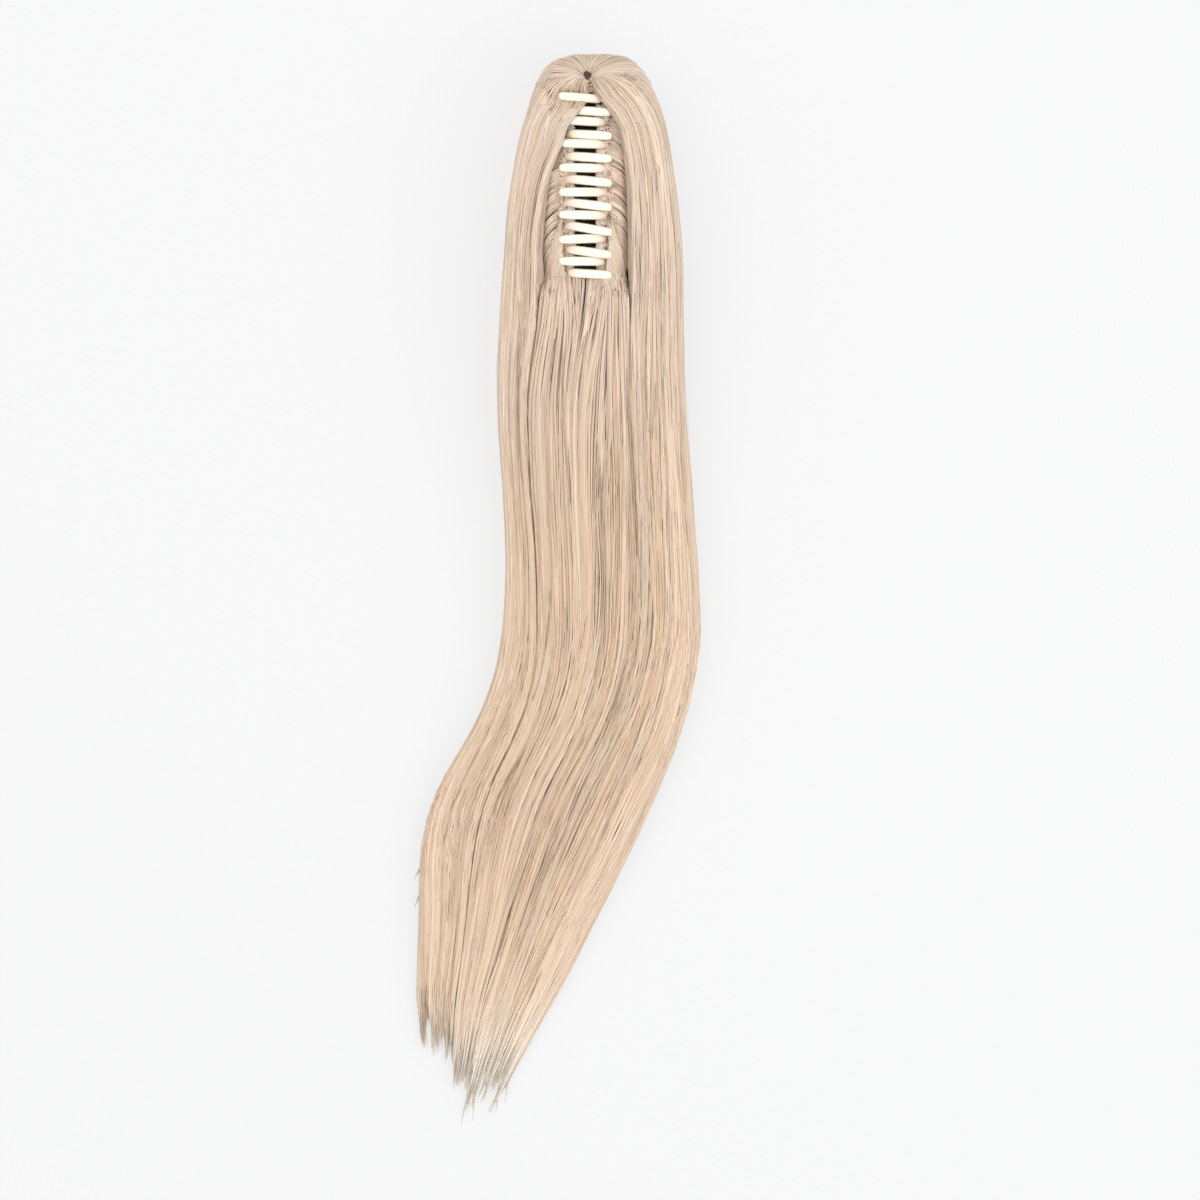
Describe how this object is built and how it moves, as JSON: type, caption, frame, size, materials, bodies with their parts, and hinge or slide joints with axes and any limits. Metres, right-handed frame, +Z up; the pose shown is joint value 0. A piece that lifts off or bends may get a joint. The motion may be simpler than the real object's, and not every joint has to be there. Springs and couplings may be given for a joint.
{
  "type": "claw clip ponytail hairpiece",
  "caption": "Long straight ash-blonde ponytail sewn round a cream claw clip, lying on its back with the teeth up; the jaws open on a sprung hinge.",
  "frame": {"origin": "on the flat underside that it lies on, under the middle of the claw clip's hinge", "axes": "+Y along the claw towards the crown, +Z up from the surface it lies on towards the teeth, +X to the right with the crown up"},
  "size_m": [0.1442, 0.5386, 0.0658],
  "materials": {
    "clip_plastic": "smooth moulded cream plastic",
    "steel": "drawn wire, slightly warm",
    "hair": "straight glossy synthetic hair, ash blonde with lighter ends",
    "weft": "hair sewn in slanting locks, a little darker"
  },
  "bodies": {
    "hair": {"hair_mantle": "hair", "hair_core": "hair", "hinge_pin": "steel", "torsion_spring": "steel"},
    "jaw_left": {"jaw_left": "clip_plastic", "weft_left": "weft"},
    "jaw_right": {"jaw_right": "clip_plastic", "weft_right": "weft"}
  },
  "joints": [
    {"name": "jaw_left_hinge", "type": "hinge", "parent": "hair", "child": "jaw_left", "pos_m": [0, 0, 0.036], "axis": [0, -1, 0], "range_deg": [0, 38], "stiffness_Nm_per_rad": 0.15, "springref_deg": -28.65, "deforming": ["torsion_spring"]},
    {"name": "jaw_right_hinge", "type": "hinge", "parent": "hair", "child": "jaw_right", "pos_m": [0, 0, 0.036], "axis": [0, 1, 0], "range_deg": [0, 38], "stiffness_Nm_per_rad": 0.15, "springref_deg": -28.65}
  ],
  "couplings": [
    {"joint": "jaw_right_hinge", "follows": "jaw_left_hinge", "ratio": 1}
  ]
}
